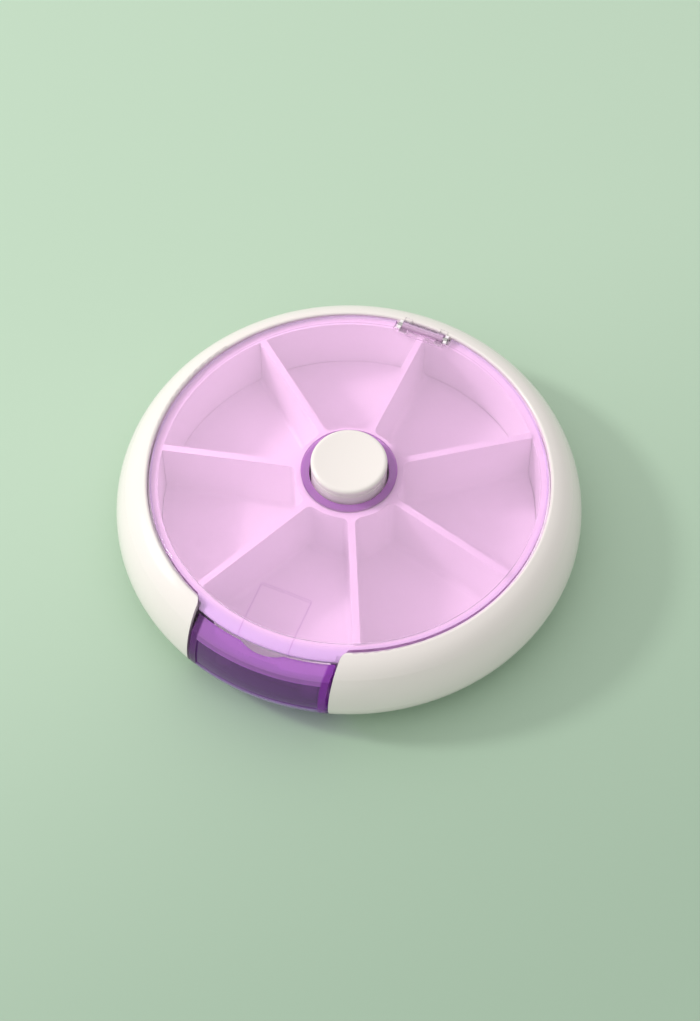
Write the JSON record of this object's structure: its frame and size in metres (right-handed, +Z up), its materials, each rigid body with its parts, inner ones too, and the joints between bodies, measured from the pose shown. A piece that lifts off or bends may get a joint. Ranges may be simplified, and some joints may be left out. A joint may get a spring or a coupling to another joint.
{
  "type": "round pill organizer",
  "caption": "Round pill organizer with a clear hinged lid over wedge-shaped compartments, a central push button that turns them and a front outlet with a tilting clear door.",
  "frame": {"origin": "centre of the footprint, on the surface that the base stands on", "axes": "+Z up along the button, -Y towards the outlet, +Y towards the lid hinge"},
  "size_m": [0.095, 0.095, 0.024],
  "materials": {
    "ring_white": "smooth, softly glossy",
    "drum_white": "smooth",
    "rotor_white": "smooth",
    "button_white": "satin",
    "base_white": "fine texture",
    "lid_purple": "clear, polished",
    "door_purple": "clear, polished",
    "inner_plastic": "natural acetal",
    "steel": "zinc plated"
  },
  "bodies": {
    "case": {"outer_ring": "ring_white", "inner_drum": "drum_white", "base_cover": "base_white", "base_screw": "steel", "spindle": "inner_plastic", "retaining_washer": "steel", "retaining_screw": "steel", "thrust_washer": "inner_plastic", "detent_spring": "steel", "lid_hinge_pin": "steel", "door_hinge_pin": "steel", "return_spring": "steel"},
    "lid": {"lid": "lid_purple"},
    "rotor": {"pill_rotor": "rotor_white", "ratchet_ring": "inner_plastic"},
    "driver": {"cam_driver": "inner_plastic", "pawl_ring": "inner_plastic"},
    "button": {"button_cap": "button_white", "button_plunger": "button_white"},
    "door": {"chute_door": "door_purple"}
  },
  "joints": [
    {"name": "lid_hinge", "type": "hinge", "parent": "case", "child": "lid", "pos_m": [0, 0.0389, 0.0187], "axis": [-1, 0, 0], "range_deg": [0, 100]},
    {"name": "rotor_turn", "type": "hinge", "parent": "case", "child": "rotor", "pos_m": [0, 0, 0.0042], "axis": [0, 0, 1], "continuous": true},
    {"name": "button_press", "type": "slide", "parent": "case", "child": "button", "axis": [0, 0, -1], "range_m": [0, 0.004], "stiffness_N_per_m": 400, "springref_m": -0.003, "deforming": ["return_spring"]},
    {"name": "driver_turn", "type": "hinge", "parent": "case", "child": "driver", "pos_m": [0, 0, 0.0047], "axis": [0, 0, 1], "range_deg": [0, 51.43]},
    {"name": "door_hinge", "type": "hinge", "parent": "case", "child": "door", "pos_m": [0, -0.0406, 0.003], "axis": [1, 0, 0], "range_deg": [0, 45]}
  ],
  "couplings": [
    {"joint": "driver_turn", "follows": "button_press", "rad_per_m": 224.4}
  ]
}
